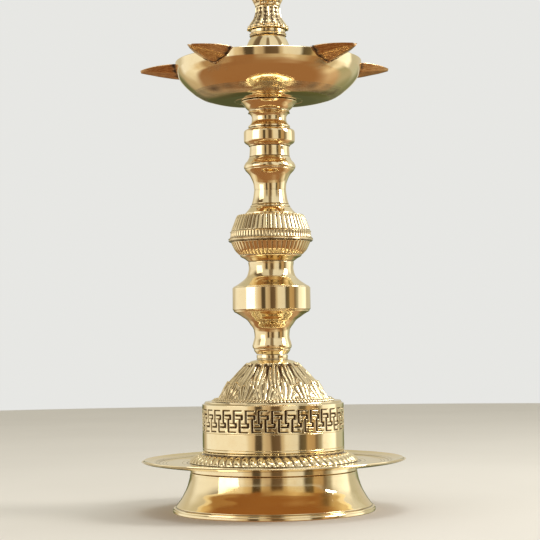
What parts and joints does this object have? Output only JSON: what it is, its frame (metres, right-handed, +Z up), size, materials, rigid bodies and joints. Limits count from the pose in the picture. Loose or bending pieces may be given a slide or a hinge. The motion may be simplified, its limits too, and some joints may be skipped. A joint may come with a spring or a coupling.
{
  "type": "standing oil lamp",
  "caption": "Standing brass oil lamp: hollow drum foot with a drip tray, turned stem with a fluted knop, and an oil dish with open wick spouts under a screwed finial.",
  "frame": {"origin": "centre of the foot's circle on the surface that the lamp stands on", "axes": "+Z up along the lamp's turned axis; +Y towards one wick spout; +X to the right of it"},
  "size_m": [0.1536, 0.1536, 0.356],
  "materials": {
    "polished_brass": "polished yellow brass with light tarnish in its recesses",
    "inner_brass": "plain machined brass, not polished",
    "spout_bronze": "rough filed brass, darkened by heat and oil",
    "washer_leather": "oiled leather"
  },
  "bodies": {
    "base": {"foot_skirt": "polished_brass", "foot_collar": "polished_brass", "drip_tray": "polished_brass", "flute_ring": "polished_brass", "base_drum": "polished_brass", "bead_ring": "polished_brass", "base_dome": "polished_brass", "tie_rod": "inner_brass", "clamp_washer": "inner_brass", "clamp_nut": "inner_brass"},
    "stem_thread": {"stem_bush": "inner_brass"},
    "stem": {"lower_stem": "polished_brass", "knop_lower": "polished_brass", "knop_belt": "polished_brass", "knop_upper": "polished_brass", "upper_stem": "polished_brass", "neck_ring": "polished_brass", "dish_cup": "polished_brass", "seal_washer": "washer_leather", "stem_nut": "inner_brass", "stem_stud": "inner_brass"},
    "dish": {"oil_dish": "polished_brass", "wick_spout_1": "spout_bronze", "wick_spout_2": "spout_bronze", "wick_spout_3": "spout_bronze", "wick_spout_4": "spout_bronze", "wick_spout_5": "spout_bronze"},
    "finial_thread": {"finial_bush": "inner_brass"},
    "finial": {"finial_cap": "polished_brass", "finial_bell": "polished_brass", "finial_bud": "polished_brass", "finial_tip": "polished_brass", "finial_pin": "inner_brass"}
  },
  "joints": [
    {"name": "stem_lift", "type": "slide", "parent": "base", "child": "stem_thread", "axis": [0, 0, 1], "range_m": [0, 0.012]},
    {"name": "stem_unscrew", "type": "hinge", "parent": "stem_thread", "child": "stem", "pos_m": [0, 0, 0.0904], "axis": [0, 0, 1], "range_deg": [0, 2890]},
    {"name": "dish_turn", "type": "hinge", "parent": "stem", "child": "dish", "pos_m": [0, 0, 0.2389], "axis": [0, 0, 1], "continuous": true},
    {"name": "finial_lift", "type": "slide", "parent": "stem", "child": "finial_thread", "axis": [0, 0, 1], "range_m": [0, 0.01]},
    {"name": "finial_unscrew", "type": "hinge", "parent": "finial_thread", "child": "finial", "pos_m": [0, 0, 0.2392], "axis": [0, 0, 1], "range_deg": [0, 2890]}
  ],
  "couplings": [
    {"joint": "stem_unscrew", "follows": "stem_lift", "rad_per_m": 4188.8},
    {"joint": "finial_unscrew", "follows": "finial_lift", "rad_per_m": 5026.5}
  ]
}
